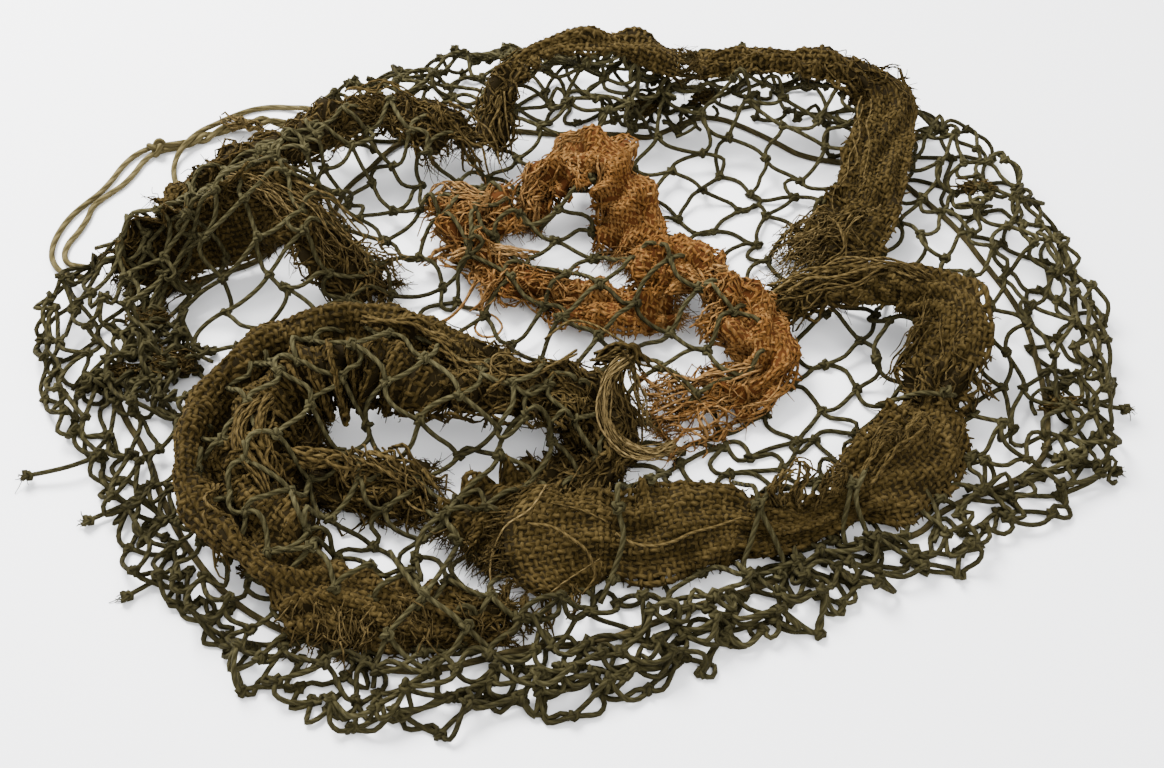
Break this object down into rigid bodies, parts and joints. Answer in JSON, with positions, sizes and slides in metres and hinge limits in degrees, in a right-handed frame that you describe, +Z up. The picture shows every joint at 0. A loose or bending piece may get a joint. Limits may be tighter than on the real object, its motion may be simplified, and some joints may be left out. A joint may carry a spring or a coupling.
{
  "type": "helmet net",
  "caption": "Knotted cord helmet net lying mouth down with its crown sunk, hessian camouflage strips threaded through it, and a drawcord with free ends.",
  "frame": {"origin": "on the table under the middle of the net's box, without the free ends of the drawcord", "axes": "+X along the net's longest width, +Y towards its back, +Z up from the table"},
  "size_m": [0.4882, 0.3993, 0.0521],
  "materials": {
    "net_cord": "dull olive cotton cord, twisted and knotted",
    "draw_cord": "dull olive cotton cord, twisted",
    "olive_hessian": "coarse plain-woven hessian dyed olive brown, with frayed edges",
    "rust_hessian": "coarse plain-woven hessian dyed rust orange, crumpled and frayed"
  },
  "bodies": {
    "root": {"net": "net_cord", "drawcord": "draw_cord", "tie_outer": "draw_cord", "tie_inner": "draw_cord", "tie_single": "draw_cord", "scrim_front": "olive_hessian", "scrim_loop": "olive_hessian", "scrim_gather": "olive_hessian", "scrim_left": "olive_hessian", "scrim_back_left": "olive_hessian", "scrim_back": "olive_hessian", "scrim_back_right": "olive_hessian", "rust_arch": "rust_hessian", "rust_run": "rust_hessian", "rust_tail": "rust_hessian"}
  },
  "joints": []
}
